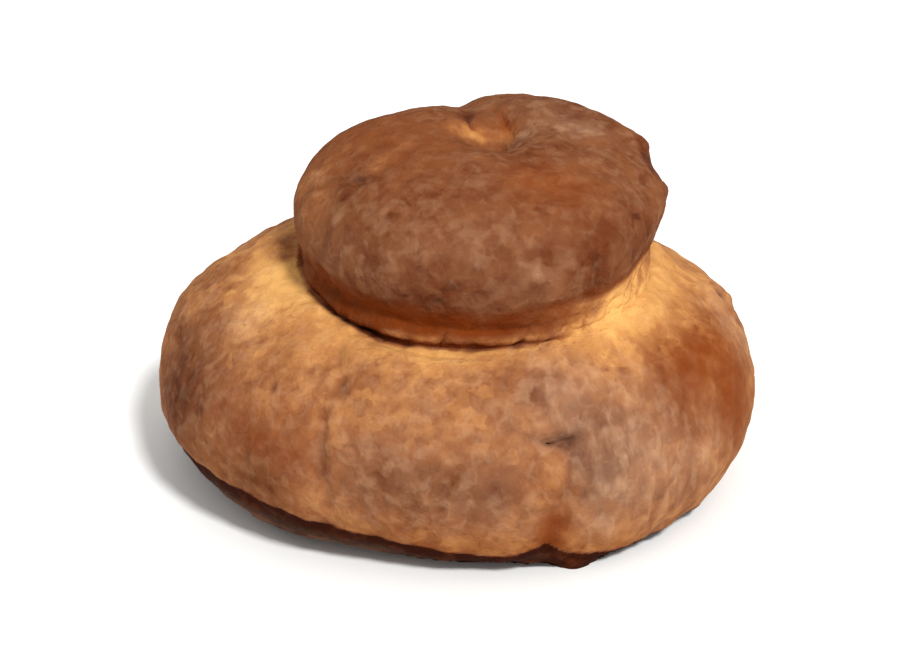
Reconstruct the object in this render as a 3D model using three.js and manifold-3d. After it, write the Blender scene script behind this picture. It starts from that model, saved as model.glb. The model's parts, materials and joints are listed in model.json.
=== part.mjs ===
// Cottage loaf: a large round of dough with a smaller round pressed on top of it, baked into one piece.
// Millimetres. The loaf stands on its flat underside at z = 0, +Z is up and -Y is its front.
import * as THREE from "three";
import { ImprovedNoise } from "three/addons/math/ImprovedNoise.js";
import { mergeVertices } from "three/addons/utils/BufferGeometryUtils.js";
import Module from "manifold-3d";

// Lower round
const BASE_WIDTH = 200;
const BASE_DEPTH = 176;
const BASE_HEIGHT = 68.5;
const BELLY_HEIGHT = 30; // level where the lower round is widest
const FOOT_RADIUS = 74; // flat underside, where it sat on the baking tray
const BASE_CROWN_RADIUS = 58; // level top of the lower round, mostly under the topknot
const BASE_DETAIL = 16; // rows of triangles across each face of the starting icosahedron

// Topknot: the smaller round
const KNOT_WIDTH = 120;
const KNOT_DEPTH = 115;
const KNOT_RISE = 24.2; // from its widest level up to its crown
const KNOT_UNDERCUT = 15; // from its widest level down to the waist, where the neck is drawn in
const KNOT_CROWN_RADIUS = 15;
const KNOT_CENTRE = new THREE.Vector3(6.5, -2, 93.5);
const KNOT_LEAN = THREE.MathUtils.degToRad(5); // it sits leaning towards the front
const NECK_PULL = 45; // radius that the curve of the waist is drawn towards
const NECK_FOOT_RADIUS = 60;
const NECK_SINK = 36; // how far the foot of the topknot reaches below its widest level
const KNOT_DETAIL = 13;

// Torn lip of dough round the neck, where the two rounds pulled apart as they rose
const LIP_RADIUS = 54.5;
const LIP_THICKNESS = 6.5;
const LIP_DROP = 16.5; // from the topknot's widest level down to the middle of the lip
const LIP_TEAR = 1.2; // how far its edge wanders in and out
const LIP_TEAR_SPACING = 14;
const LIP_SIDES = 6;
const LIP_STEPS = 72;

// Natural unevenness of hand-shaped dough: how far apart the lumps are and how far they rise
const LUMPS = [
  { spacing: 44, rise: 2.4 },
  { spacing: 17, rise: 0.8 },
];
const DOWN_START = 0.75; // how steeply the dough faces down where the unevenness starts to die away
const DOWN_FULL = 0.98; // and where it is gone, so that the underside bakes flat

// Marks in the dough. A place is [turn, share]: degrees round from the front towards +X, and how far along
// the half-section from the middle of the foot, 0, to the middle of the crown, 1. A mark follows one place
// or a line of them. It sinks by its depth, or swells where its depth is negative.
const BASE_MARKS = [
  { along: [[-33, 0.7], [-27, 0.59], [-24, 0.46]], width: 8, depth: 2 }, // furrow left of the front
  { along: [[18, 0.59]], width: 9, depth: 3.5 }, // pit where the end of the dough was tucked in
  { along: [[18, 0.575], [18, 0.51], [19, 0.35]], width: 7, depth: 2.6 }, // fold that runs down from the pit
  { along: [[30, 0.39], [57, 0.39]], width: 17, depth: -5 }, // tucked end beside the fold, heavy low down
  { along: [[-72, 0.36], [-27, 0.36]], width: 20, depth: 2 }, // left side, drawn in a little under the belly
  { along: [[-95, 0.5], [-72, 0.48]], width: 15, depth: -1 }, // and full above that
  { along: [[-125, 0.6], [-105, 0.59]], width: 14, depth: -1.6 }, // left shoulder
  { along: [[92, 0.6], [112, 0.6]], width: 14, depth: -2 }, // right shoulder
  { along: [[88, 0.645], [97, 0.61]], width: 4.5, depth: -2.4 }, // crag of crust on the right shoulder
  { along: [[125, 0.79], [180, 0.79], [-125, 0.79]], width: 22, depth: -8 }, // collar behind the topknot
  { along: [[42, 0.765], [60, 0.755], [98, 0.755]], width: 12, depth: -6.5 }, // and along its right side
  { along: [[-60, 0.78], [-100, 0.78]], width: 12, depth: -3.5 }, // and lower down its left side
];
const KNOT_MARKS = [
  { along: [[143, 0.945]], width: 12, depth: 8 }, // dimple pressed by the thumb through both rounds
  { along: [[143, 0.93], [165, 0.87], [190, 0.66]], width: 7, depth: 4 }, // valley from the dimple to the back
  { along: [[146, 0.71]], width: 24, depth: -3.4 }, // higher right lobe
  { along: [[120, 0.64]], width: 18, depth: -3.6 }, // fuller back of the right rim
  { along: [[65, 0.545], [115, 0.545]], width: 12, depth: 2.6 }, // right side, slimmer under that
  { along: [[111, 0.67], [117, 0.61]], width: 4.5, depth: -3 }, // crag at the back of the right rim
  { along: [[83, 0.61], [99, 0.6]], width: 5, depth: -2.8 }, // ridge of crust along the right rim
];

const CRUST = { color: 0xa8683c, roughness: 0.78, metalness: 0 };

const noise = new ImprovedNoise();
const wasm = await Module();
wasm.setup();

function movePoints(geometry, move) {
  const positions = geometry.getAttribute("position");
  const point = new THREE.Vector3();
  for (let i = 0; i < positions.count; i += 1) {
    move(point.fromBufferAttribute(positions, i), i);
    positions.setXYZ(i, point.x, point.y, point.z);
  }
}

// A closed surface with nothing but its points and triangles, so that shared points can be merged.
function bare(geometry) {
  geometry.deleteAttribute("normal");
  geometry.deleteAttribute("uv");
  return mergeVertices(geometry);
}

// A round lump of dough: a ball whose points are carried onto a half-section turned about Z.
function roundFrom(section, detail) {
  const lump = bare(new THREE.IcosahedronGeometry(1, detail));
  movePoints(lump, (point) => {
    const share = Math.acos(THREE.MathUtils.clamp(-point.z, -1, 1)) / Math.PI;
    const turn = Math.atan2(point.y, point.x);
    const { x: radius, y: height } = section.getPoint(share);
    point.set(radius * Math.cos(turn), radius * Math.sin(turn), height);
  });
  return lump;
}

function pointAt(section, [turn, share]) {
  const { x: radius, y: height } = section.getPoint(share);
  const angle = THREE.MathUtils.degToRad(turn);
  return new THREE.Vector3(radius * Math.sin(angle), -radius * Math.cos(angle), height);
}

// Half-section of the lower round, from the middle of its foot up to the middle of its crown.
function baseSection() {
  const radius = BASE_WIDTH / 2;
  const shoulder = radius - BASE_CROWN_RADIUS;
  const section = new THREE.Path();
  section.moveTo(0, 0);
  section.lineTo(FOOT_RADIUS, 0);
  section.absellipse(FOOT_RADIUS, BELLY_HEIGHT, radius - FOOT_RADIUS, BELLY_HEIGHT, -Math.PI / 2, 0);
  section.absellipse(BASE_CROWN_RADIUS, BELLY_HEIGHT, shoulder, BASE_HEIGHT - BELLY_HEIGHT, 0, Math.PI / 2);
  section.lineTo(0, BASE_HEIGHT);
  return section;
}

// Half-section of the topknot about its widest level: foot, waist, shoulder and crown.
function knotSection() {
  const radius = KNOT_WIDTH / 2;
  const section = new THREE.Path();
  section.moveTo(0, -NECK_SINK);
  section.lineTo(NECK_FOOT_RADIUS, -NECK_SINK);
  section.bezierCurveTo(NECK_PULL, -KNOT_UNDERCUT, radius, -KNOT_UNDERCUT, radius, 0);
  section.absellipse(KNOT_CROWN_RADIUS, 0, radius - KNOT_CROWN_RADIUS, KNOT_RISE, 0, Math.PI / 2);
  section.lineTo(0, KNOT_RISE);
  return section;
}

function distanceToLine(line, point) {
  let nearest = line[0].distanceTo(point);
  const onLine = new THREE.Vector3();
  for (let i = 1; i < line.length; i += 1) {
    new THREE.Line3(line[i - 1], line[i]).closestPointToPoint(point, true, onLine);
    nearest = Math.min(nearest, onLine.distanceTo(point));
  }
  return nearest;
}

function unevenness({ x, y, z }) {
  return LUMPS.reduce(
    (sum, { spacing, rise }) => sum + rise * noise.noise(x / spacing, y / spacing, z / spacing),
    0,
  );
}

// Works the marks and the unevenness into a lump, square to its surface, and keeps its foot flat.
function workDough(lump, section, marks) {
  const lines = marks.map(({ along }) => along.map((place) => pointAt(section, place)));
  const floor = section.getPoint(0).y;
  lump.computeVertexNormals();
  const normals = lump.getAttribute("normal");
  const normal = new THREE.Vector3();
  movePoints(lump, (point, index) => {
    normal.fromBufferAttribute(normals, index);
    const free = 1 - THREE.MathUtils.smoothstep(-normal.z, DOWN_START, DOWN_FULL);
    let rise = unevenness(point) * free;
    marks.forEach(({ width, depth }, i) => {
      rise -= depth * Math.exp(-((distanceToLine(lines[i], point) / width) ** 2));
    });
    point.addScaledVector(normal, rise);
    point.z = Math.max(point.z, floor);
  });
  lump.deleteAttribute("normal");
}

// The lip is a ring of dough whose edge wanders in and out where it tore.
function tornLip() {
  const ring = bare(new THREE.TorusGeometry(LIP_RADIUS, LIP_THICKNESS / 2, LIP_SIDES, LIP_STEPS));
  const outward = new THREE.Vector3();
  movePoints(ring, (point) => {
    outward.set(point.x, point.y, 0).normalize();
    const tear = noise.noise(point.x / LIP_TEAR_SPACING, point.y / LIP_TEAR_SPACING, 0);
    point.addScaledVector(outward, LIP_TEAR * tear);
    point.z += LIP_TEAR * noise.noise(point.y / LIP_TEAR_SPACING, point.x / LIP_TEAR_SPACING, 1) - LIP_DROP;
  });
  return ring;
}

function solidFrom(geometry) {
  const vertProperties = new Float32Array(geometry.getAttribute("position").array);
  const triVerts = new Uint32Array(geometry.index.array);
  return new wasm.Manifold(new wasm.Mesh({ numProp: 3, vertProperties, triVerts }));
}

function geometryFrom(solid) {
  const { vertProperties, triVerts } = solid.getMesh();
  const geometry = new THREE.BufferGeometry();
  geometry.setAttribute("position", new THREE.BufferAttribute(vertProperties, 3));
  geometry.setIndex(new THREE.BufferAttribute(triVerts, 1));
  return geometry;
}

// One round of dough with its marks worked in.
function roundOfDough(section, detail, marks) {
  const lump = roundFrom(section, detail);
  workDough(lump, section, marks);
  return lump;
}

const basePlacement = new THREE.Matrix4().makeScale(1, BASE_DEPTH / BASE_WIDTH, 1);
const knotPlacement = new THREE.Matrix4().compose(
  KNOT_CENTRE,
  new THREE.Quaternion().setFromAxisAngle(new THREE.Vector3(1, 0, 0), KNOT_LEAN),
  new THREE.Vector3(1, KNOT_DEPTH / KNOT_WIDTH, 1),
);

const lowerRound = roundOfDough(baseSection(), BASE_DETAIL, BASE_MARKS).applyMatrix4(basePlacement);
const topknot = roundOfDough(knotSection(), KNOT_DETAIL, KNOT_MARKS).applyMatrix4(knotPlacement);
const lip = tornLip().applyMatrix4(knotPlacement);
const baked = solidFrom(lowerRound).add(solidFrom(topknot)).add(solidFrom(lip));

// The loaf stands over the origin, at the middle of its outline.
const crustGeometry = geometryFrom(baked);
crustGeometry.computeBoundingBox();
const middle = crustGeometry.boundingBox.getCenter(new THREE.Vector3());
crustGeometry.translate(-middle.x, -middle.y, -crustGeometry.boundingBox.min.z);
crustGeometry.computeVertexNormals();

const loaf = new THREE.Mesh(crustGeometry, new THREE.MeshStandardMaterial(CRUST));
loaf.name = "loaf";

const cottageLoaf = new THREE.Group();
cottageLoaf.add(loaf);

export default cottageLoaf;
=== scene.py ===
import json
import math
import bpy
import numpy as np
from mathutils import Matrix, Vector, noise

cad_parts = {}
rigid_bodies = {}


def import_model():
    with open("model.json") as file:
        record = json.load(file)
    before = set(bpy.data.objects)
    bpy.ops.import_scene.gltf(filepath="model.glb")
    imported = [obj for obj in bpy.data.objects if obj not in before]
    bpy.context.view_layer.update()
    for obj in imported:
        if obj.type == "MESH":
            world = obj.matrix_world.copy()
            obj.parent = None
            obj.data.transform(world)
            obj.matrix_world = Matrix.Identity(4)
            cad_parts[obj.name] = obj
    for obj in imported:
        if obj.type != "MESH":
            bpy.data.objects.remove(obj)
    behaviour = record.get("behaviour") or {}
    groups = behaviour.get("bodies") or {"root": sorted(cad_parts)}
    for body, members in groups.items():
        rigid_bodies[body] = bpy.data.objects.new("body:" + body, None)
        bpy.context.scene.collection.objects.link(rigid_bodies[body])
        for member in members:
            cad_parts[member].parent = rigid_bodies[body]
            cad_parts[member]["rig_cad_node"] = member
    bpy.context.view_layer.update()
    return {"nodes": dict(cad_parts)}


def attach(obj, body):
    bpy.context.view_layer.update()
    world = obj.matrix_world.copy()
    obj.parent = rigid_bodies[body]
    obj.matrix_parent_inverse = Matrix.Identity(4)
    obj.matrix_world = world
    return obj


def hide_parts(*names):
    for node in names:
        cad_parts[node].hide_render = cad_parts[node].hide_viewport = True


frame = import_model()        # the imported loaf, in metres, standing on z = 0
mm = 0.001
leastWeight = 0.004      # fainter than this is left alone
print("frame loaded:", sorted(frame["nodes"]))


# Small tools for the mesh in hand

def applyModifier(piece, kind, **settings):
    bpy.context.view_layer.objects.active = piece
    bpy.ops.object.modifier_add(type=kind)
    modifier = piece.modifiers[-1]
    for name, value in settings.items():
        setattr(modifier, name, value)
    bpy.ops.object.modifier_apply(modifier=modifier.name)


def pointsOf(piece):
    # the crust's points, in millimetres
    flat = np.zeros(len(piece.data.vertices) * 3, np.float32)
    piece.data.vertices.foreach_get("co", flat)
    return flat.reshape(-1, 3).astype(float) / mm


def normalsOf(piece):
    flat = np.zeros(len(piece.data.vertices) * 3, np.float32)
    piece.data.vertex_normals.foreach_get("vector", flat)
    return flat.reshape(-1, 3)


def onlyWhere(piece, weights):
    # a vertex group that keeps the next modifier to where the weights are
    group = piece.vertex_groups.new(name="where")
    for index in np.flatnonzero(weights > leastWeight):
        group.add([int(index)], float(min(weights[index], 1)), "REPLACE")
    return group.name


def push(piece, weights, rise, along="NORMAL"):
    # raises the crust by that many millimetres where the weight is 1, or sinks it
    where = onlyWhere(piece, weights)
    applyModifier(piece, "DISPLACE", strength=rise * mm, mid_level=0, vertex_group=where, direction=along)
    piece.vertex_groups.clear()


def iron(piece, weights, passes):
    where = onlyWhere(piece, weights)
    applyModifier(piece, "SMOOTH", factor=0.5, iterations=passes, vertex_group=where)
    piece.vertex_groups.clear()


def pick(piece, kind, chosen):
    # leaves only the chosen points or faces selected
    bpy.ops.object.mode_set(mode="EDIT")
    bpy.ops.mesh.select_mode(type=kind)
    bpy.ops.mesh.select_all(action="DESELECT")
    bpy.ops.object.mode_set(mode="OBJECT")
    things = piece.data.polygons if kind == "FACE" else piece.data.vertices
    things.foreach_set("select", chosen)


def grain(points, spacing, seed=0):
    # soft noise from about -1 to 1, with lumps that many millimetres apart
    shift = Vector((seed * 17.3, seed * 9.1, seed * 5.7))
    return np.array([noise.noise(Vector(point) / spacing + shift) for point in points])


def ease(low, high, values):
    # 0 at low, 1 at high, and soft between
    share = np.clip((values - low) / (high - low), 0, 1)
    return share * share * (3 - 2 * share)


def bell(values, middle, width):
    return np.exp(-(((values - middle) / width) ** 2))


def nearLine(points, line, width):
    # 1 on a line of places, or on one place, falling off over that width
    nearest = np.full(len(points), np.inf)
    ends = [np.array(place, float) for place in line]
    for start, end in zip(ends, ends[1:] or ends):
        along = end - start
        share = np.clip((points - start) @ along / max(along @ along, 1e-9), 0, 1)
        nearest = np.minimum(nearest, np.linalg.norm(points - start - share[:, None] * along, axis=1))
    return bell(nearest, 0, width)


def turnOf(points):
    # degrees round the loaf, from its front to the right
    return np.degrees(np.arctan2(points[:, 0], -points[:, 1]))


def outOf(points):
    return np.hypot(points[:, 0], points[:, 1])


def drawnPlaces(points, stretch, swirl):
    # the crust's places with the way from neck to foot shortened, so that noise comes out as drawn streaks
    ring = 80  # millimetres, about the loaf's own radius
    length = outOf(points) - points[:, 2]
    turn = np.radians(turnOf(points) + swirl * length)
    return np.column_stack([ring * np.cos(turn), ring * np.sin(turn), length / stretch])


# Where the topknot sits, in millimetres
topknot = {
    "centre": (6.4, -2.4, 93.5),
    "depthShare": 115 / 120,  # a little less deep than wide
    "lean": 5,  # degrees to the front
    "neckRadius": 57.5,  # out to the torn lip
    "lipLevel": -16.5,  # below the widest level
    "crackLevel": -20.5,  # where the lip meets the lower round
}


def knotPlaces(points):
    # how far out from the topknot's middle, how far above its widest level, and the turn from the front
    lean = math.radians(topknot["lean"])
    across, y, z = (points - np.array(topknot["centre"])).T
    along = y * math.cos(lean) + z * math.sin(lean)
    level = z * math.cos(lean) - y * math.sin(lean)
    out = np.hypot(across, along / topknot["depthShare"])
    return out, level, np.degrees(np.arctan2(across, -along))


# The loaf's crust, modelled over a copy of its solid. Sizes and places are in millimetres, turns in degrees from
# the front to the right.
crust = {
    "meshWidth": 1.3,
    "ironing": 8,  # smoothing passes over the facets
    "lumps": [(14, 0.7), (6.5, 0.9), (3.6, 0.65)],  # spacing and rise of the skin's unevenness
    "streaks": {"spacing": 5, "rise": 0.3, "stretch": 4, "swirl": 0.35},  # drawn wrinkles of the lower round
    "rim": {"height": 5.5, "more": 17.5, "turn": -62, "width": 60},  # where it turns under, painted dark as baked crust and as shade, higher at the shaded left
    "notch": {"turn": 18, "width": 5, "rise": 5},  # where the rim rises at the foot of the fold
    "undercut": {"turn": -70, "width": 40, "depth": 0.9},  # how far the rim is drawn in at the left
    "foldShadeLump": {"line": [(24, -70, 1), (37, -69, 1)], "width": 7, "spread": 6},  # a lump at the fold's foot, painted dark as the shade under the fold
    "foot": {"height": 0.8, "more": 0.9, "turn": 20, "width": 60},  # pressed flat up to here, more at the front
}


def takeDough():
    bpy.ops.object.select_all(action="DESELECT")  # the frame's nodes come in selected
    solid = frame["nodes"]["loaf"]
    solid.select_set(True)
    bpy.context.view_layer.objects.active = solid
    bpy.ops.object.duplicate()
    loaf = bpy.context.active_object
    loaf.name = "cottageLoaf"
    loaf.data.name = "cottageLoaf"
    del loaf["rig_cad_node"]  # the copy is a new piece
    loaf.data.materials.clear()
    bpy.ops.object.mode_set(mode="EDIT")
    bpy.ops.mesh.select_all(action="SELECT")
    bpy.ops.mesh.remove_doubles(threshold=0.01 * mm)
    bpy.ops.object.mode_set(mode="OBJECT")
    applyModifier(loaf, "SUBSURF", levels=1, render_levels=1)
    applyModifier(loaf, "REMESH", mode="VOXEL", voxel_size=crust["meshWidth"] * mm)
    applyModifier(loaf, "SMOOTH", factor=0.5, iterations=crust["ironing"])
    bpy.ops.object.shade_smooth()
    return loaf


# The neck, where the two rounds tore apart as they rose. Levels are millimetres above the topknot's widest level,
# and out is from its middle. A pair for a form is where it starts and where it is full.
neck = {
    "smallFaces": {"out": (49, 64), "level": (-24, -9)},  # from and to
    "starts": (46, 51),  # how far out the tearing sets in
    "ends": (68, 63),  # and dies away
    "smoothing": {"height": 5, "passes": 8},  # before it tore
    "wander": {"spacing": 22, "height": 1.2},  # ups and downs of the lip
    "lip": {"level": topknot["lipLevel"] - 0.5, "height": 1.5, "rise": 1.3},
    "crack": {"level": topknot["crackLevel"] + 0.8, "height": 1.0, "rise": -2.4},
    "crackDepths": [(-35, 30, 0.5), (55, 30, -0.3), (0, 20, 0.3)],  # turn, its width, how much deeper there
    "edge": {"out": topknot["neckRadius"] + 3.5, "inside": 1.8, "outside": 4.5, "below": (-18.5, -20),
             "rise": 1.3},  # width to its inside and to its outside
    "tears": [(-11, 0.5, 0.7), (15, 1.5, 2.2), (29, -1, 2.2), (36, 0, 1), (47, -3, 2.4), (60, -2, 1.2),
              (118, 0, 1.5), (160, 1, 2), (-140, 0, 1.8), (-95, 1, 1.4)],  # turn, drop below the lip, width
    "tear": {"height": 1.6, "slant": 0.5, "rise": -1.8},  # slant in degrees for each millimetre
    "strands": {"level": topknot["lipLevel"] + 1, "height": 4.5, "turn": 52, "width": 26, "rise": 0.9},
    "ledge": {"bottom": (-16.8, -15.6), "top": (-6, -11), "turn": 48, "width": 26, "rise": 1.5},
    "border": {"out": 63, "width": 3, "below": (-17, -19), "passes": 8},  # where the small faces end
}


def refineNeck(loaf):
    # smaller faces round the neck, for its thin torn edges
    middles = np.zeros(len(loaf.data.polygons) * 3, np.float32)
    loaf.data.polygons.foreach_get("center", middles)
    out, level, _ = knotPlaces(middles.reshape(-1, 3) / mm)
    inner, outer = neck["smallFaces"]["out"]
    bottom, top = neck["smallFaces"]["level"]
    pick(loaf, "FACE", (out > inner) & (out < outer) & (level > bottom) & (level < top))
    bpy.ops.object.mode_set(mode="EDIT")
    bpy.ops.mesh.subdivide(number_cuts=1)
    bpy.ops.object.mode_set(mode="OBJECT")


def tearNeck(loaf):
    out, level, turn = knotPlaces(pointsOf(loaf))
    atNeck = ease(*neck["starts"], out) * ease(*neck["ends"], out)
    smoothing = neck["smoothing"]
    iron(loaf, atNeck * bell(level, topknot["lipLevel"], smoothing["height"]), smoothing["passes"])
    points = pointsOf(loaf)
    out, level, turn = knotPlaces(points)
    wander = neck["wander"]["height"] * grain(points, neck["wander"]["spacing"], 2)

    # lip over the crack, at the front and again at the back
    lip = neck["lip"]
    front = ease(-70, -45, turn) * ease(40, 10, turn) + 0.6 * ease(110, 140, np.abs(turn))
    weights = bell(level, lip["level"] + wander, lip["height"]) * atNeck * front
    push(loaf, weights * (0.75 + 0.25 * grain(points, 9, 9)), lip["rise"])
    crack = neck["crack"]
    depth = 0.45 + 0.3 * grain(points, 16, 3)
    for place, width, deeper in neck["crackDepths"]:
        depth = depth + deeper * bell(turn, place, width)
    push(loaf, bell(level, crack["level"], crack["height"]) * atNeck * depth, crack["rise"])

    # edge of the lower round's skin, which runs out over the shoulder
    edge = neck["edge"]
    width = np.where(out < edge["out"], edge["inside"], edge["outside"])
    weights = bell(out, edge["out"], width) * ease(*edge["below"], level)
    push(loaf, weights * ease(-0.5, 0.4, grain(points, 7, 4)), edge["rise"])

    tear = neck["tear"]
    for place, drop, width in neck["tears"]:
        apart = (turn - place + 180) % 360 - 180
        slant = apart - tear["slant"] * (level - topknot["lipLevel"])
        weights = bell(level, topknot["lipLevel"] - drop, tear["height"]) * atNeck * bell(slant, 0, width)
        push(loaf, weights, tear["rise"])

    # strands and a ledge of torn crumb at the right
    strands = neck["strands"]
    weights = bell(level, strands["level"], strands["height"]) * atNeck
    weights = weights * bell(turn, strands["turn"], strands["width"])
    push(loaf, weights * ease(-0.1, 0.6, grain(drawnPlaces(points, 6, 0.8), 3.2, 1)), strands["rise"])
    ledge = neck["ledge"]
    weights = ease(*ledge["bottom"], level + wander) * ease(*ledge["top"], level) * atNeck
    weights = weights * bell(turn, ledge["turn"], ledge["width"])
    push(loaf, weights * (0.7 + 0.3 * grain(points, 6, 14)), ledge["rise"])

    border = neck["border"]
    iron(loaf, bell(out, border["out"], border["width"]) * ease(*border["below"], level), border["passes"])


# Marks in the crust: lines or single places, how wide they are and how far they rise, or sink below 0
slit = [(17, -79.7, 53), (22.4, -78, 49), (28.8, -76.3, 45.7), (32.2, -75.3, 46.6), (35.6, -75.4, 47.7)]
marks = {
    "furrow": {"lines": [[(-37, -52, 65), (-35.5, -64.6, 61), (-34.8, -68, 59)],
                         [(-41, -72.5, 51), (-41.7, -76.4, 42.6), (-41.4, -78, 35), (-40, -77, 25)]],
               "width": 2.2, "rise": -1.0},
    "ridge": {"lines": [[(-36.3, -71.2, 55.4), (-38.3, -76.2, 45.7)]], "width": 2.6, "rise": 0.7},
    "slit": {"lines": [slit], "width": 2, "rise": -2.8},
    "brow": {"lines": [[(x, y, z + 5) for x, y, z in slit]], "width": 4, "rise": 0.7},  # over the slit
    "fold": {"lines": [[(34, -77, 46), (35, -81, 39), (33.5, -83, 30), (31, -83, 22), (28, -81, 11)]],
             "width": 3, "rise": -1.2},
    "flap": {"lines": [[(30, -79, 42), (30, -82, 36)]], "width": 4, "rise": 1.3},
    "pocks": {"lines": [[(-41.7, -69.8, 54.2)], [(-57.9, -59.6, 56.5)], [(-75.7, -53, 46.7)],
                        [(-30.6, -20.2, 110.4)], [(-36.2, -26.6, 106.6)]],
              "width": 1.7, "rise": -0.8},
    "crownCreases": {"lines": [[(5, 13, 115.3), (4, 16, 116.4), (3, 26, 115.3)],
                               [(19, 10, 113), (17, 14.5, 114.5), (15, 20, 115.7)]],
                     "width": 1.6, "rise": -1.8},
    "tongue": {"lines": [[(10.5, 19, 114.5), (8.5, 27, 115)]], "width": 3, "rise": 1.2},  # dough in the dimple
    "sunkenCrown": {"lines": [[(-10, 33, 115)]], "width": 15, "rise": -1.3},
    "sunkenLobe": {"lines": [[(15, 32, 118), (28, 33, 118)]], "width": 9, "rise": -1.2},
    "sunkenLeft": {"lines": [[(-43, 12, 109), (-50, 2, 101), (-53, -3, 93)]], "width": 12, "rise": -1.3},
    "sunkenFoot": {"lines": [[(77, -53, 6), (85, -45, 11)]], "width": 11, "rise": -2.2},
    "nick": {"lines": [[(88, 0, 59.7)]], "width": 1.8, "rise": -1.2},
    "crags": {"lines": [[(62.5, 16, 108)], [(67.5, -2, 100.2)], [(91, 2.5, 56.5)]],
              "width": 2.2, "rise": 1.5},
}


def markCrust(loaf):
    points = pointsOf(loaf)
    gaping = ease(22, 29, points[:, 0])  # the slit is wider open at its right end
    gaping = np.maximum(gaping, 0.3 * ease(-0.5, 0.3, grain(points, 5, 21)))
    broken = ease(-0.6, 0.3, grain(points, 8, 23))  # the fold is deeper here and there
    shares = {"slit": gaping, "fold": broken}
    for name, mark in marks.items():
        for line in mark["lines"]:
            push(loaf, nearLine(points, line, mark["width"]) * shares.get(name, 1), mark["rise"])


def roughenSkin(loaf):
    points = pointsOf(loaf)
    free = ease(1.5, 7, points[:, 2])  # the underside baked flat
    for seed, (spacing, rise) in enumerate(crust["lumps"]):
        push(loaf, free * (0.5 + 0.5 * grain(points, spacing, seed + 5)), rise)
    streaks = crust["streaks"]
    drawn = drawnPlaces(points, streaks["stretch"], streaks["swirl"])
    lowerRound = ease(-18, -24, knotPlaces(points)[1])
    push(loaf, free * lowerRound * ease(0.05, 0.5, grain(drawn, streaks["spacing"], 11)), streaks["rise"])


def aboveRim(points):
    # millimetres above the ragged edge where the crust turns under, below which it is painted dark as baked crust
    # and as shade
    rim, notch = crust["rim"], crust["notch"]
    turn = turnOf(points)
    height = rim["height"] + rim["more"] * bell(turn, rim["turn"], rim["width"])
    height = height + notch["rise"] * bell(turn, notch["turn"], notch["width"])
    return points[:, 2] - height + 1.2 * grain(points, 9, 51)


def settleFoot(loaf):
    # the crust turns under at its rim, and the underside baked flat on the tray
    points = pointsOf(loaf)
    height = points[:, 2]
    undercut, foldShadeLump, foot = crust["undercut"], crust["foldShadeLump"], crust["foot"]
    left = bell(turnOf(points), undercut["turn"], undercut["width"])
    push(loaf, left * ease(0.8, -1.6, aboveRim(points)) * ease(1, 4, height), -undercut["depth"])
    # a lump at the fold's foot, which is painted as the shade under the fold
    outside = ease(45, 62, outOf(points))
    weights = outside * nearLine(points, foldShadeLump["line"], foldShadeLump["width"]) * ease(8, 3, height)
    push(loaf, weights, -foldShadeLump["spread"], "Y")
    points = pointsOf(loaf)
    flat = foot["height"] + foot["more"] * bell(turnOf(points), foot["turn"], foot["width"])
    pick(loaf, "VERT", points[:, 2] < flat)
    bpy.ops.object.mode_set(mode="EDIT")
    bpy.ops.transform.resize(value=(1, 1, 0), center_override=(0, 0, 0))
    bpy.ops.object.mode_set(mode="OBJECT")


loaf = takeDough()
print("dough taken:", len(loaf.data.vertices), "points")
refineNeck(loaf)
tearNeck(loaf)
markCrust(loaf)
roughenSkin(loaf)
settleFoot(loaf)
print("crust worked:", len(loaf.data.polygons), "faces")


# How the oven left each part of the loaf, and the shade painted under the topknot, in the crack and holes and on
# the rim. Bake goes from 0 for pale gold to 1 for burnt, and also carries the painted shade.
ovenAndShade = {
    "bakeAndShade": {"usual": 0.48, "gold": -0.3, "topknot": 0.33, "under": 0.16, "lip": -0.3},
    "flour": {"usual": 0.3, "gold": -0.25, "topknot": -0.22, "under": -0.3},
    "redness": {"usual": 0.08, "under": 0.85},
    "brownest": 0.9,  # outside cracks and the rim
    "crumb": 0.88,  # how much paler where the neck tore open
    "crumbStrands": 0.25,
    "crack": 0.75,
    "holeShade": 0.5,
    "rim": 1.3,
    "dustyRim": 0.33,  # how much paler the rim is further down
    "underside": 0.14,  # and under the middle
    "rimFlour": 0.5,
}
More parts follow.
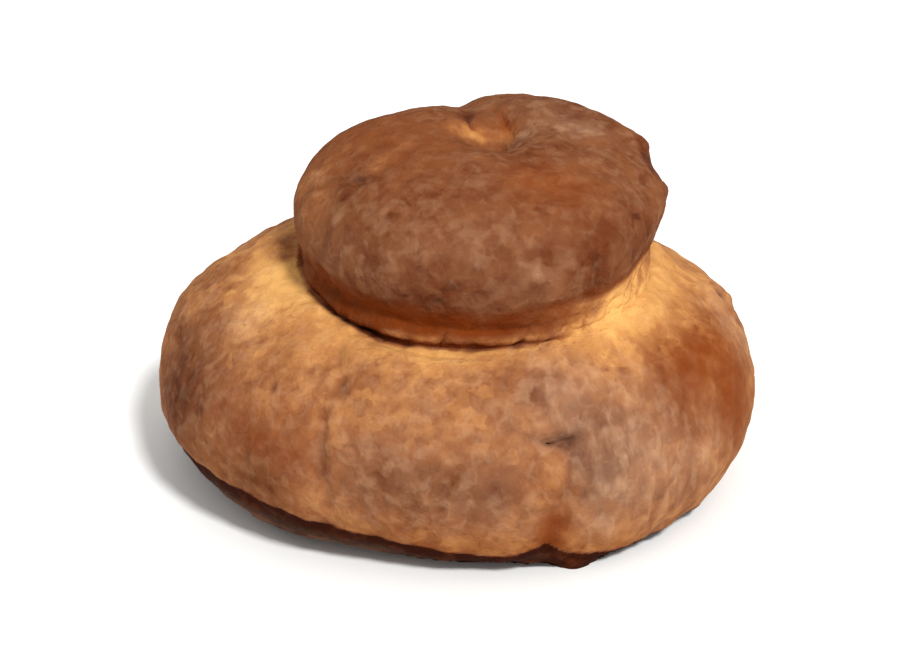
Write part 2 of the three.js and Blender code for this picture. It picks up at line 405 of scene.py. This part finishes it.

# What else the oven and the flour left on it, with painted shade and light in places. Places are in millimetres,
# amounts are added to the usual.
bakeAndShadeMarks = [
    {"at": [(74, -44, 55), (84, -30, 55), (89, -36, 39)], "reach": 15, "redness": 0.8, "bakeAndShade": 0.3,
     "flour": -0.3},  # reddened right side
    {"at": [(88.8, -8.7, 57), (93, -12.9, 51.5)], "reach": 10, "bakeAndShade": 0.14, "flour": 0.6},
    {"at": [(25, -67, 63), (35, -70, 58), (44, -75, 46)], "reach": 14, "flour": 0.6, "bakeAndShade": 0.3},  # front right
    {"at": [(64, -62, 46), (57, -72, 34), (74, -60, 30)], "reach": 16, "flour": 0.6, "bakeAndShade": 0.17},
    {"at": [(-25, -78, 36), (10, -86, 35)], "reach": 14, "bakeAndShade": 0.4, "flour": 0.15},  # lower front, darker as painted shade
    {"at": [(17, -79.7, 53), (28.8, -76.3, 45.7), (35.6, -75.4, 47.7)], "reach": 5, "bakeAndShade": 0.09},  # slit, painted shade in it
    {"at": [(29, -76, 45.7), (32.2, -75.3, 46.6), (36, -75.4, 47.7)], "reach": 2.4, "bakeAndShade": 0.3},
    {"at": [(36, -77.6, 44.3), (42, -79.4, 38), (40, -81.8, 31)], "reach": 3.5, "bakeAndShade": 0.18},  # beside the fold, painted shade
    {"at": [(47, -78, 36.6)], "reach": 3, "bakeAndShade": 0.15},
    {"at": [(46.5, -80, 26), (45, -80.4, 21)], "reach": 8, "bakeAndShade": 0.15, "flour": 0.6, "redness": -0.3},
    {"at": [(-34, -75, 15), (-3, -84, 14), (26, -82, 12), (51, -73, 10)], "reach": 8, "redness": 0.4,
     "bakeAndShade": -0.06, "flour": -0.3},  # above the foot
    {"at": [(-70, -56, 50), (-53, -73, 42)], "reach": 15, "bakeAndShade": 0.1, "redness": 0.25},  # left side, darker as painted shade
    {"at": [(-89, -27, 48), (-92, -33, 37)], "reach": 20, "bakeAndShade": 0.4, "flour": -0.1},
    {"at": [(-82, -46, 46)], "reach": 12, "bakeAndShade": 0.15},
    {"at": [(-73, -54.5, 47.6), (-69, -60.5, 44.7), (-61, -68, 42.8), (-52, -73.8, 41.8)], "reach": 4,
     "redness": 0.5, "bakeAndShade": 0.12},
    {"at": [(-35.5, -64.6, 61), (-34.8, -67.5, 59.4)], "reach": 2.4, "bakeAndShade": 0.22},  # painted shade along the furrow
    {"at": [(-41.3, -73.4, 49), (-41.7, -76.4, 42.6), (-41.4, -78, 36)], "reach": 2.4, "bakeAndShade": 0.13},
    # painted light on the ridge beside the furrow
    {"at": [(-36.3, -71.2, 55.4), (-38.8, -76.2, 45.7)], "reach": 2, "bakeAndShade": -0.16},
    {"at": [(-30.6, -78.7, 47)], "reach": 2.2, "bakeAndShade": 0.2},  # dark spots
    {"at": [(-31.2, -80.4, 41.7)], "reach": 1.6, "bakeAndShade": 0.2},
    {"at": [(-57, -59.6, 56.8)], "reach": 1.5, "bakeAndShade": 0.35},
    {"at": [(-60, -66, 28)], "reach": 16, "bakeAndShade": 0.3, "flour": -0.2},  # low at the left, darker as painted shade
    {"at": [(-68, -27, 64)], "reach": 7, "flour": 0.9, "bakeAndShade": -0.15},  # floury left shoulder
    {"at": [(-74, -22, 61)], "reach": 14, "bakeAndShade": -0.06},
    {"at": [(-55, -15, 72), (-62, 5, 70)], "reach": 14, "bakeAndShade": -0.18},  # paler beside the neck, painted light where the topknot's shadow falls
    # painted shadow of the topknot, next to the neck at the left
    {"at": [(-57, 10, 75), (-57.5, 1, 75)], "reach": 5, "bakeAndShade": 0.4},
    {"at": [(31, -83, 22), (28, -81, 11)], "reach": 5, "bakeAndShade": 0.34, "redness": 0.85, "flour": -0.6},  # fold, painted red-brown as the shade in it
    {"at": [(30, -79, 42), (30, -82, 36)], "reach": 4, "bakeAndShade": -0.18},  # flap beside it
    {"at": [(45, 72, 48), (15, 82, 38)], "reach": 20, "bakeAndShade": 0.14, "flour": 0.4},  # back
    {"at": [(-50, 64, 52), (-66, 54, 40)], "reach": 16, "bakeAndShade": 0.12, "redness": 0.35},
    {"at": [(22.5, 6, 114.5), (43, 9.5, 114)], "reach": 5, "flour": 0.6},  # smear on the topknot's crown
    {"at": [(28, 19, 119), (40, 16, 117)], "reach": 10, "bakeAndShade": 0.05, "flour": 0.2},
    {"at": [(0.5, 5.6, 116.3), (5, 8.4, 114)], "reach": 4.4, "bakeAndShade": -0.35, "flour": -0.2},  # gold by the dimple
    {"at": [(61, 15, 109), (67, -3, 100)], "reach": 3, "bakeAndShade": 0.2},  # crags
    {"at": [(88, 0, 59.7)], "reach": 2.6, "bakeAndShade": 0.6, "redness": -0.5},  # nick, painted shade in it
    {"at": [(-28, -45, 71.5), (-16, -52, 71.5)], "reach": 3, "bakeAndShade": 0.4},  # painted shadow over the lip at the left of the front
    {"at": [(-5, -62, 67.5), (14, -61, 67.5)], "reach": 5, "bakeAndShade": -0.06},  # gold in front of it
    {"at": [(47, -41, 79), (50, -38, 77)], "reach": 6, "bakeAndShade": -0.16, "redness": -0.3},  # and at its right
    {"at": [(26, -29, 113), (35, -29, 111)], "reach": 12, "redness": 0.5, "bakeAndShade": -0.06,
     "flour": -0.1},  # on the topknot
    {"at": [(-38, 11, 112), (-26, 13, 114), (-12.5, -9, 116.6)], "reach": 16, "redness": 0.35, "bakeAndShade": -0.08,
     "flour": -0.2},
    {"at": [(-26, -17, 112), (-17, -8, 116)], "reach": 3.5, "bakeAndShade": -0.3, "flour": 0.2},
    {"at": [(-30.6, -20.2, 110.4), (-36.2, -26.6, 106.6)], "reach": 5, "bakeAndShade": 0.17},
    {"at": [(-44, -20, 105), (-48, -8, 104)], "reach": 11, "bakeAndShade": -0.2},
    {"at": [(-41, -36, 97), (-12, -55, 99), (25, -56, 96)], "reach": 11, "flour": 0.15, "bakeAndShade": 0.05},
    {"at": [(-18, -55, 89), (7, -60, 88), (19, -59, 89)], "reach": 7, "bakeAndShade": 0.1},
    {"at": [(44, -44, 97), (58, -29, 97)], "reach": 12, "bakeAndShade": 0.1},
    {"at": [(4, 9, 114.5), (10.4, 12.5, 111.7), (17, 11, 113)], "reach": 4, "bakeAndShade": -0.4, "redness": 0.55,
     "flour": -0.6},  # in the dimple
    {"at": [(4.4, 8.9, 113.6)], "reach": 2.5, "bakeAndShade": -0.2},
    {"at": [(3.1, 15.2, 117.4), (3, 26, 115.3)], "reach": 2.5, "bakeAndShade": 0.25},
    {"at": [(17, 14.5, 114.5), (15, 20, 115.7)], "reach": 2.2, "bakeAndShade": -0.15, "redness": 0.8},
]

paleFlakes = {
    "places": [(-18, -70.5, 62), (-25.5, -72, 59), (-4, -80, 55), (-14, -80, 52), (3, -77.5, 59), (-67, -17, 67),
               (-87, -21, 53), (-3.5, -85, 45.5), (-8.5, -54, 101), (24.5, -56.5, 96), (-37, -33, 103),
               (-27, -43.5, 103), (-19.5, -54.5, 91.5), (-19.5, -14, 115), (-45.5, -7, 107)],
    "reach": 1.8,
    "bakeAndShade": -0.2,
    "flour": 0.4,
}


def paint(piece, name, values):
    layer = piece.data.attributes.new(name, "FLOAT", "POINT")
    layer.data.foreach_set("value", np.clip(values, 0, 1).astype(np.float32))


def blend(amounts, shares):
    # the usual amount, and what each part of the loaf adds to it
    return amounts["usual"] + sum(amounts[name] * shares[name] for name in amounts if name != "usual")


def hollowness(piece, passes):
    # how far each point lies below its ironed surroundings, in millimetres, which the material paints darker as
    # shade
    points = pointsOf(piece)
    edges = np.zeros(len(piece.data.edges) * 2, np.int32)
    piece.data.edges.foreach_get("vertices", edges)
    first, second = edges.reshape(-1, 2).T
    count = np.bincount(first, minlength=len(points)) + np.bincount(second, minlength=len(points))
    ironed = points.copy()
    for _ in range(passes):
        total = np.zeros_like(ironed)
        for axis in range(3):
            total[:, axis] += np.bincount(first, ironed[second, axis], len(points))
            total[:, axis] += np.bincount(second, ironed[first, axis], len(points))
        ironed = 0.5 * ironed + 0.5 * total / count[:, None]
    return np.einsum("ij,ij->i", ironed - points, normalsOf(piece))


def paintCrust(loaf):
    points = pointsOf(loaf)
    height = points[:, 2]
    out, level, turn = knotPlaces(points)
    back = ease(85, 125, np.abs(turn))
    wander = (1.5 + 2.5 * back) * grain(points, 18, 31)

    # topknot, painted shade in dark red-brown under its overhang, and the gold round the neck
    shoulder = ease(58.5, 60.5, out) * ease(-13, -15, level)  # of the lower round, as high as the lip in places
    knot = ease(-20, -18.5, level) * (1 - shoulder)
    under = knot * ease(-2, -9.5, level + wander)
    fromNeck = np.maximum(out - topknot["neckRadius"], 0)
    goldWidth = 11 + 14 * bell(turn, 80, 40) + 9 * bell(turn, -70, 40)
    gold = (1 - knot) * bell(fromNeck, 2, goldWidth) * (1.1 + 0.4 * bell(turn, 62, 30))

    # lip, golden crumb where the neck tore open, and painted shade in the crack and its holes
    front = ease(-35, -8, turn) * ease(40, 10, turn) + 0.6 * ease(110, 140, np.abs(turn))
    lip = knot * bell(level, neck["lip"]["level"], 1.6) * front
    torn = bell(turn, 58, 34) + 0.7 * bell(np.abs(turn), 168, 20)
    crumb = knot * ease(-5, -9, level + wander) * torn * (0.95 + 0.25 * ease(-15, -16.5, level))
    strands = grain(drawnPlaces(points, 7, 0.8), 3, 41)
    inside = ease(59.5, 57.5, out - 2 * bell(turn, -28, 20))
    crack = bell(level, topknot["crackLevel"] + 0.5 - 0.6 * bell(turn, -60, 25), 1.6) * inside
    crack = crack * ease(-100, -70, turn) * ease(30, 5, turn)
    holeShade = bell(level, -16.4, 0.9) * inside * bell(turn, 42, 26) * ease(0.05, 0.4, grain(points, 4.5, 61))

    # rim painted dark where it turns under, partly baked crust and partly painted shade, paler and floury further
    # down
    # the lump at the fold's foot is painted as dark as the shade under the fold
    spread = [(x, y - crust["foldShadeLump"]["spread"], z) for x, y, z in crust["foldShadeLump"]["line"]]
    foldShadeLump = nearLine(points, spread, 8) * ease(9, 6, height)
    rim = np.maximum(ease(0.6, -1, aboveRim(points)), foldShadeLump)
    beneath = ease(76, 34, outOf(points)) * ease(3, 1, height)
    dusty = np.maximum(ease(-3, -11, aboveRim(points)) * (1 - foldShadeLump), beneath)

    shares = {"gold": gold, "topknot": knot, "under": under, "lip": lip}
    bakeAndShade = blend(ovenAndShade["bakeAndShade"], shares) - (ovenAndShade["crumb"] + ovenAndShade["crumbStrands"] * strands) * crumb
    flour = blend(ovenAndShade["flour"], shares)
    # the painted shade under the topknot is red-brown, less so at the lip, the crumb and the left
    shares["under"] = under * np.maximum(1 - 0.8 * lip - 1.2 * crumb, 0) * (1 - 0.6 * bell(turn, -80, 35))
    redness = blend(ovenAndShade["redness"], shares) * (1 - 0.35 * back)
    for mark in bakeAndShadeMarks:
        near = nearLine(points, mark["at"], mark["reach"])
        bakeAndShade = bakeAndShade + mark.get("bakeAndShade", 0) * near
        redness = redness + mark.get("redness", 0) * near
        flour = flour + mark.get("flour", 0) * near
    ragged = 0.8 + 0.5 * grain(points, 3, 71)
    for place in paleFlakes["places"]:
        near = nearLine(points, [place], paleFlakes["reach"]) * ragged
        bakeAndShade = bakeAndShade + paleFlakes["bakeAndShade"] * near
        flour = flour + paleFlakes["flour"] * near
    # the crack and holes are painted dark with the shade that lies in them
    bakeAndShade = np.minimum(bakeAndShade, ovenAndShade["brownest"]) + ovenAndShade["crack"] * crack + ovenAndShade["holeShade"] * holeShade
    # the dark rim: baked crust and painted shade
    rimBakeAndShade = (ovenAndShade["rim"] - ovenAndShade["dustyRim"] * dusty - ovenAndShade["underside"] * beneath) * rim
    paint(loaf, "bakeAndShade", np.maximum(bakeAndShade, rimBakeAndShade))
    paint(loaf, "redness", redness * (1 - rim))
    paint(loaf, "flour", flour * (1 - rim) + ovenAndShade["rimFlour"] * dusty)
    # how hollow each point lies, which the material paints darker as shade
    paint(loaf, "hollowShade", 0.5 + hollowness(loaf, 12))

    # places for the flakes' pattern, with the skin drawn out on the right side
    places = points.copy()
    drawnDown = ease(-18, -20, level) * ease(5, 35, turnOf(points)) * ease(170, 130, turnOf(points))
    places[:, 2] -= 0.55 * drawnDown * (height - 40)
    drawn = loaf.data.attributes.new("drawn", "FLOAT_VECTOR", "POINT")
    drawn.data.foreach_set("vector", (places * mm).astype(np.float32).ravel())


paintCrust(loaf)
print("bake painted")


# Materials

def linear(hexCode):
    # sRGB hex to the linear colour that the shaders take
    parts = [int(hexCode[i:i + 2], 16) / 255 for i in (1, 3, 5)]
    return [p / 12.92 if p <= 0.04045 else ((p + 0.055) / 1.055) ** 2.4 for p in parts] + [1]


def addNode(tree, kind, inputs, out=0, **settings):
    node = tree.nodes.new("ShaderNode" + kind)
    for name, value in settings.items():
        setattr(node, name, value)
    for socket, value in inputs.items():
        if isinstance(value, bpy.types.NodeSocket):
            tree.links.new(value, node.inputs[socket])
        else:
            node.inputs[socket].default_value = value
    return node.outputs[out]


# Wheat crust, oven baked: sugars and starch brown in uneven patches from gold to dark brown, matt under a bloom
# of flour that lies in blotches, with pale flakes of dry skin, painted shade in its pits and hollows and painted
# light on its rises.
bakedCrust = {
    "browning": [(0.0, "#e0a962"), (0.14, "#cb9153"), (0.24, "#ba7f49"), (0.4, "#a66d3f"), (0.6, "#8a532f"),
                 (0.8, "#744428"), (0.92, "#5f2f18"), (1.0, "#331206")],
    "reddened": "#7c350b",
    "fleckSkin": "#e4b68c",  # pale flakes
    "fleckShare": 0.135,
    "flourDust": "#e2cbb0",
    "flourShare": 0.1,  # of the colour, where the flour lies
    "patterns": {"patches": (20, 4, 0.65, 0.3), "blotches": (7, 3, 0.6, 0.3), "specks": (2.6, 2, 0.5, 0),
                 "skin": (1.3, 2, 0.5, 0), "flecks": (5, 2, 0.5, 0.4)},  # spacing, detail, roughness, distortion
    "flakeSpacing": 4.5,  # millimetres
    "pitSpacing": 8,
    "unevenness": [("patches", 0.3, 0.7, -0.17, 0.17), ("flakes", 0, 1, -0.09, 0.09),
                   ("blotches", 0.3, 0.7, -0.12, 0.1), ("specks", 0.6, 0.75, 0, 0.09), ("pits", 0, 1, 0, 0.12),
                   ("hollowShade", 0.2, 0.9, -0.07, 0.14)],  # part of its range that counts, and how much browner; in pits and hollows this is painted shade, and on rises painted light
    "roughness": 0.75,
    "sheen": 0.02,  # flour and fine pits leave next to none
    "bumpStrength": 0.5,
    "bumpHeight": 0.5,  # millimetres
}


def makeCrustMaterial():
    material = bpy.data.materials.new("bakedWheatCrust")
    material.use_nodes = True
    tree = material.node_tree
    shader = tree.nodes["Principled BSDF"]
    place = addNode(tree, "TexCoord", {}, "Object")
    bakeAndShade = addNode(tree, "Attribute", {}, "Fac", attribute_name="bakeAndShade")
    redness = addNode(tree, "Attribute", {}, "Fac", attribute_name="redness")
    flour = addNode(tree, "Attribute", {}, "Fac", attribute_name="flour")
    hollowShade = addNode(tree, "Attribute", {}, "Fac", attribute_name="hollowShade")
    drawn = addNode(tree, "Attribute", {}, "Vector", attribute_name="drawn")
    textures = {"hollowShade": hollowShade}
    for name, (spacing, detail, roughness, distortion) in bakedCrust["patterns"].items():
        textures[name] = addNode(tree, "TexNoise", {
            "Vector": drawn if name == "flecks" else place, "Scale": 1 / (spacing * mm), "Detail": detail,
            "Roughness": roughness, "Distortion": distortion})
    patches, blotches, specks = textures["patches"], textures["blotches"], textures["specks"]
    flecks = addNode(tree, "MapRange", {0: textures["flecks"], 1: 0.42, 2: 0.72}, interpolation_type="SMOOTHSTEP")

    # flakes and pits, with wavy edges
    flakeWidth = bakedCrust["flakeSpacing"] * mm
    warp = addNode(tree, "TexNoise", {"Vector": place, "Scale": 1 / flakeWidth, "Detail": 2}, "Color")
    warp = addNode(tree, "VectorMath", {0: warp, "Scale": flakeWidth}, operation="SCALE")
    warped = addNode(tree, "VectorMath", {0: place, 1: warp}, operation="ADD")
    flakes = addNode(tree, "TexVoronoi", {"Vector": warped, "Scale": 1 / flakeWidth}, "Color")
    textures["flakes"] = addNode(tree, "SeparateColor", {0: flakes})
    pits = addNode(tree, "TexVoronoi", {"Vector": warped, "Scale": 1 / (bakedCrust["pitSpacing"] * mm)})
    pits = addNode(tree, "MapRange", {0: pits, 1: 0.2, 2: 0.05}, interpolation_type="SMOOTHSTEP")
    textures["pits"] = pits

    # browning, liveliest on half-baked crust, with painted shade in pits and hollows and painted light on rises
    uneven = 0
    for name, low, high, least, most in bakedCrust["unevenness"]:
        part = addNode(tree, "MapRange", {0: textures[name], 1: low, 2: high, 3: least, 4: most})
        uneven = addNode(tree, "Math", {0: uneven, 1: part}, operation="ADD")
    lively = addNode(tree, "MapRange", {0: bakeAndShade, 1: 0.4, 2: 1.0, 3: 1.0, 4: 0.2})
    calm = addNode(tree, "MapRange", {0: bakeAndShade, 1: 0.05, 2: 0.35, 3: 0.35, 4: 1.0})
    lively = addNode(tree, "Math", {0: lively, 1: calm}, operation="MINIMUM")
    bakeAndShadeLevel = addNode(tree, "Math", {0: uneven, 1: lively, 2: bakeAndShade}, operation="MULTIPLY_ADD")
    colour = addNode(tree, "ValToRGB", {0: bakeAndShadeLevel})
    stops = colour.node.color_ramp.elements
    while len(stops) < len(bakedCrust["browning"]):
        stops.new(1)
    for stop, (position, hexCode) in zip(stops, bakedCrust["browning"]):
        stop.position = position
        stop.color = linear(hexCode)

    # reddened where the oven was hottest, and in the painted shade under the topknot
    share = addNode(tree, "MapRange", {0: blotches, 1: 0.35, 2: 0.65, 3: 0.5, 4: 0.9})
    share = addNode(tree, "Math", {0: redness, 1: share}, operation="MULTIPLY")
    reddened = linear(bakedCrust["reddened"])
    colour = addNode(tree, "Mix", {0: share, 6: colour, 7: reddened}, 2, data_type="RGBA")

    # pale flakes of skin, fewer on the darkest crust, burnt and painted shade, and on reddened crust
    unburntUnshaded = addNode(tree, "MapRange", {0: bakeAndShade, 1: 1.0, 2: 0.85, 4: bakedCrust["fleckShare"]})
    unreddened = addNode(tree, "MapRange", {0: redness, 1: 0.7, 2: 0.1, 3: 0.18, 4: 0.6})
    share = addNode(tree, "Math", {0: flour, 1: unreddened}, operation="ADD")
    share = addNode(tree, "Math", {0: share, 1: unburntUnshaded}, operation="MULTIPLY")
    share = addNode(tree, "Math", {0: share, 1: flecks}, operation="MULTIPLY")
    fleckSkin = linear(bakedCrust["fleckSkin"])
    colour = addNode(tree, "Mix", {0: share, 6: colour, 7: fleckSkin}, 2, data_type="RGBA")

    # bloom of flour, in soft blotches with pale specks
    dust = addNode(tree, "MapRange", {0: patches, 1: 0.7, 2: 0.3, 3: 0.2, 4: 1.4})
    dust = addNode(tree, "Math", {0: dust, 1: flour}, operation="MULTIPLY")
    pale = addNode(tree, "MapRange", {0: specks, 1: 0.42, 2: 0.3, 3: 0.0, 4: 0.6},
                   interpolation_type="SMOOTHSTEP")
    pale = addNode(tree, "Math", {0: pale, 1: flour}, operation="MULTIPLY")
    dust = addNode(tree, "Math", {0: dust, 1: pale}, operation="ADD")
    dust = addNode(tree, "Math", {0: dust, 1: bakedCrust["flourShare"]}, operation="MULTIPLY")
    flourDust = linear(bakedCrust["flourDust"])
    colour = addNode(tree, "Mix", {0: dust, 6: colour, 7: flourDust}, 2, data_type="RGBA")
    tree.links.new(colour, shader.inputs["Base Color"])
    shader.inputs["Roughness"].default_value = bakedCrust["roughness"]
    shader.inputs["Specular IOR Level"].default_value = bakedCrust["sheen"]

    # fine skin
    height = addNode(tree, "Math", {0: specks, 1: textures["skin"]}, operation="ADD")
    height = addNode(tree, "Math", {0: height, 1: pits}, operation="SUBTRACT")
    height = addNode(tree, "Math", {0: height, 1: flecks}, operation="ADD")
    bumpHeight = bakedCrust["bumpHeight"] * mm
    bump = addNode(tree, "Bump", {"Strength": bakedCrust["bumpStrength"], "Distance": bumpHeight, "Height": height})
    tree.links.new(bump, shader.inputs["Normal"])
    return material


loaf.data.materials.append(makeCrustMaterial())
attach(loaf, "root")
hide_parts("loaf")
print("crust material made")


# Floor, light and camera
studio = {
    "floorWidth": 20,  # metres
    "floorWhite": "#f4f4f2",
    "keyTurn": 28,  # degrees to the right of the front
    "keyRise": 50,
    "keyStrength": 2.8,
    "keySoftness": 10,
    "skyTop": 0.92,  # a wide soft light overhead
    "skyEdge": 0.35,  # and less from the sides
}
view = {
    "rise": 27,  # degrees above the table
    "distance": 800,  # millimetres
    "aim": (-2.2, -0.5, 49.0),
    "lens": 94.3,
}


def setStudio():
    bpy.ops.mesh.primitive_plane_add(size=studio["floorWidth"])
    floor = bpy.context.active_object
    floor.name = "floor"
    card = bpy.data.materials.new("whiteCard")  # uncoated card: white, with no sheen at all
    card.use_nodes = True
    shader = card.node_tree.nodes["Principled BSDF"]
    shader.inputs["Base Color"].default_value = linear(studio["floorWhite"])
    shader.inputs["Roughness"].default_value = 1
    shader.inputs["Specular IOR Level"].default_value = 0
    floor.data.materials.append(card)
    bpy.ops.object.light_add(type="SUN")
    key = bpy.context.active_object
    key.name = "softKey"
    key.data.energy = studio["keyStrength"]
    key.data.angle = math.radians(studio["keySoftness"])
    key.rotation_euler = (math.radians(90 - studio["keyRise"]), 0, math.radians(studio["keyTurn"]))
    world = bpy.data.worlds.new("studio")
    world.use_nodes = True
    tree = world.node_tree
    up = addNode(tree, "TexCoord", {}, "Generated")
    up = addNode(tree, "SeparateXYZ", {0: up}, "Z")
    sky = addNode(tree, "MapRange", {0: up, 3: studio["skyEdge"], 4: studio["skyTop"]})
    tree.nodes["Background"].inputs["Color"].default_value = (1, 1, 1, 1)
    tree.links.new(sky, tree.nodes["Background"].inputs["Strength"])
    bpy.context.scene.world = world
    bpy.context.scene.view_settings.view_transform = "Standard"


def setCamera():
    rise = math.radians(view["rise"])
    back = Vector((0, -math.cos(rise), math.sin(rise)))
    bpy.ops.object.camera_add()
    camera = bpy.context.active_object
    camera.name = "camera"
    camera.location = (Vector(view["aim"]) + view["distance"] * back) * mm
    camera.rotation_euler = (math.pi / 2 - rise, 0, 0)
    camera.data.lens = view["lens"]
    bpy.context.scene.camera = camera


setStudio()
setCamera()
print("studio set")
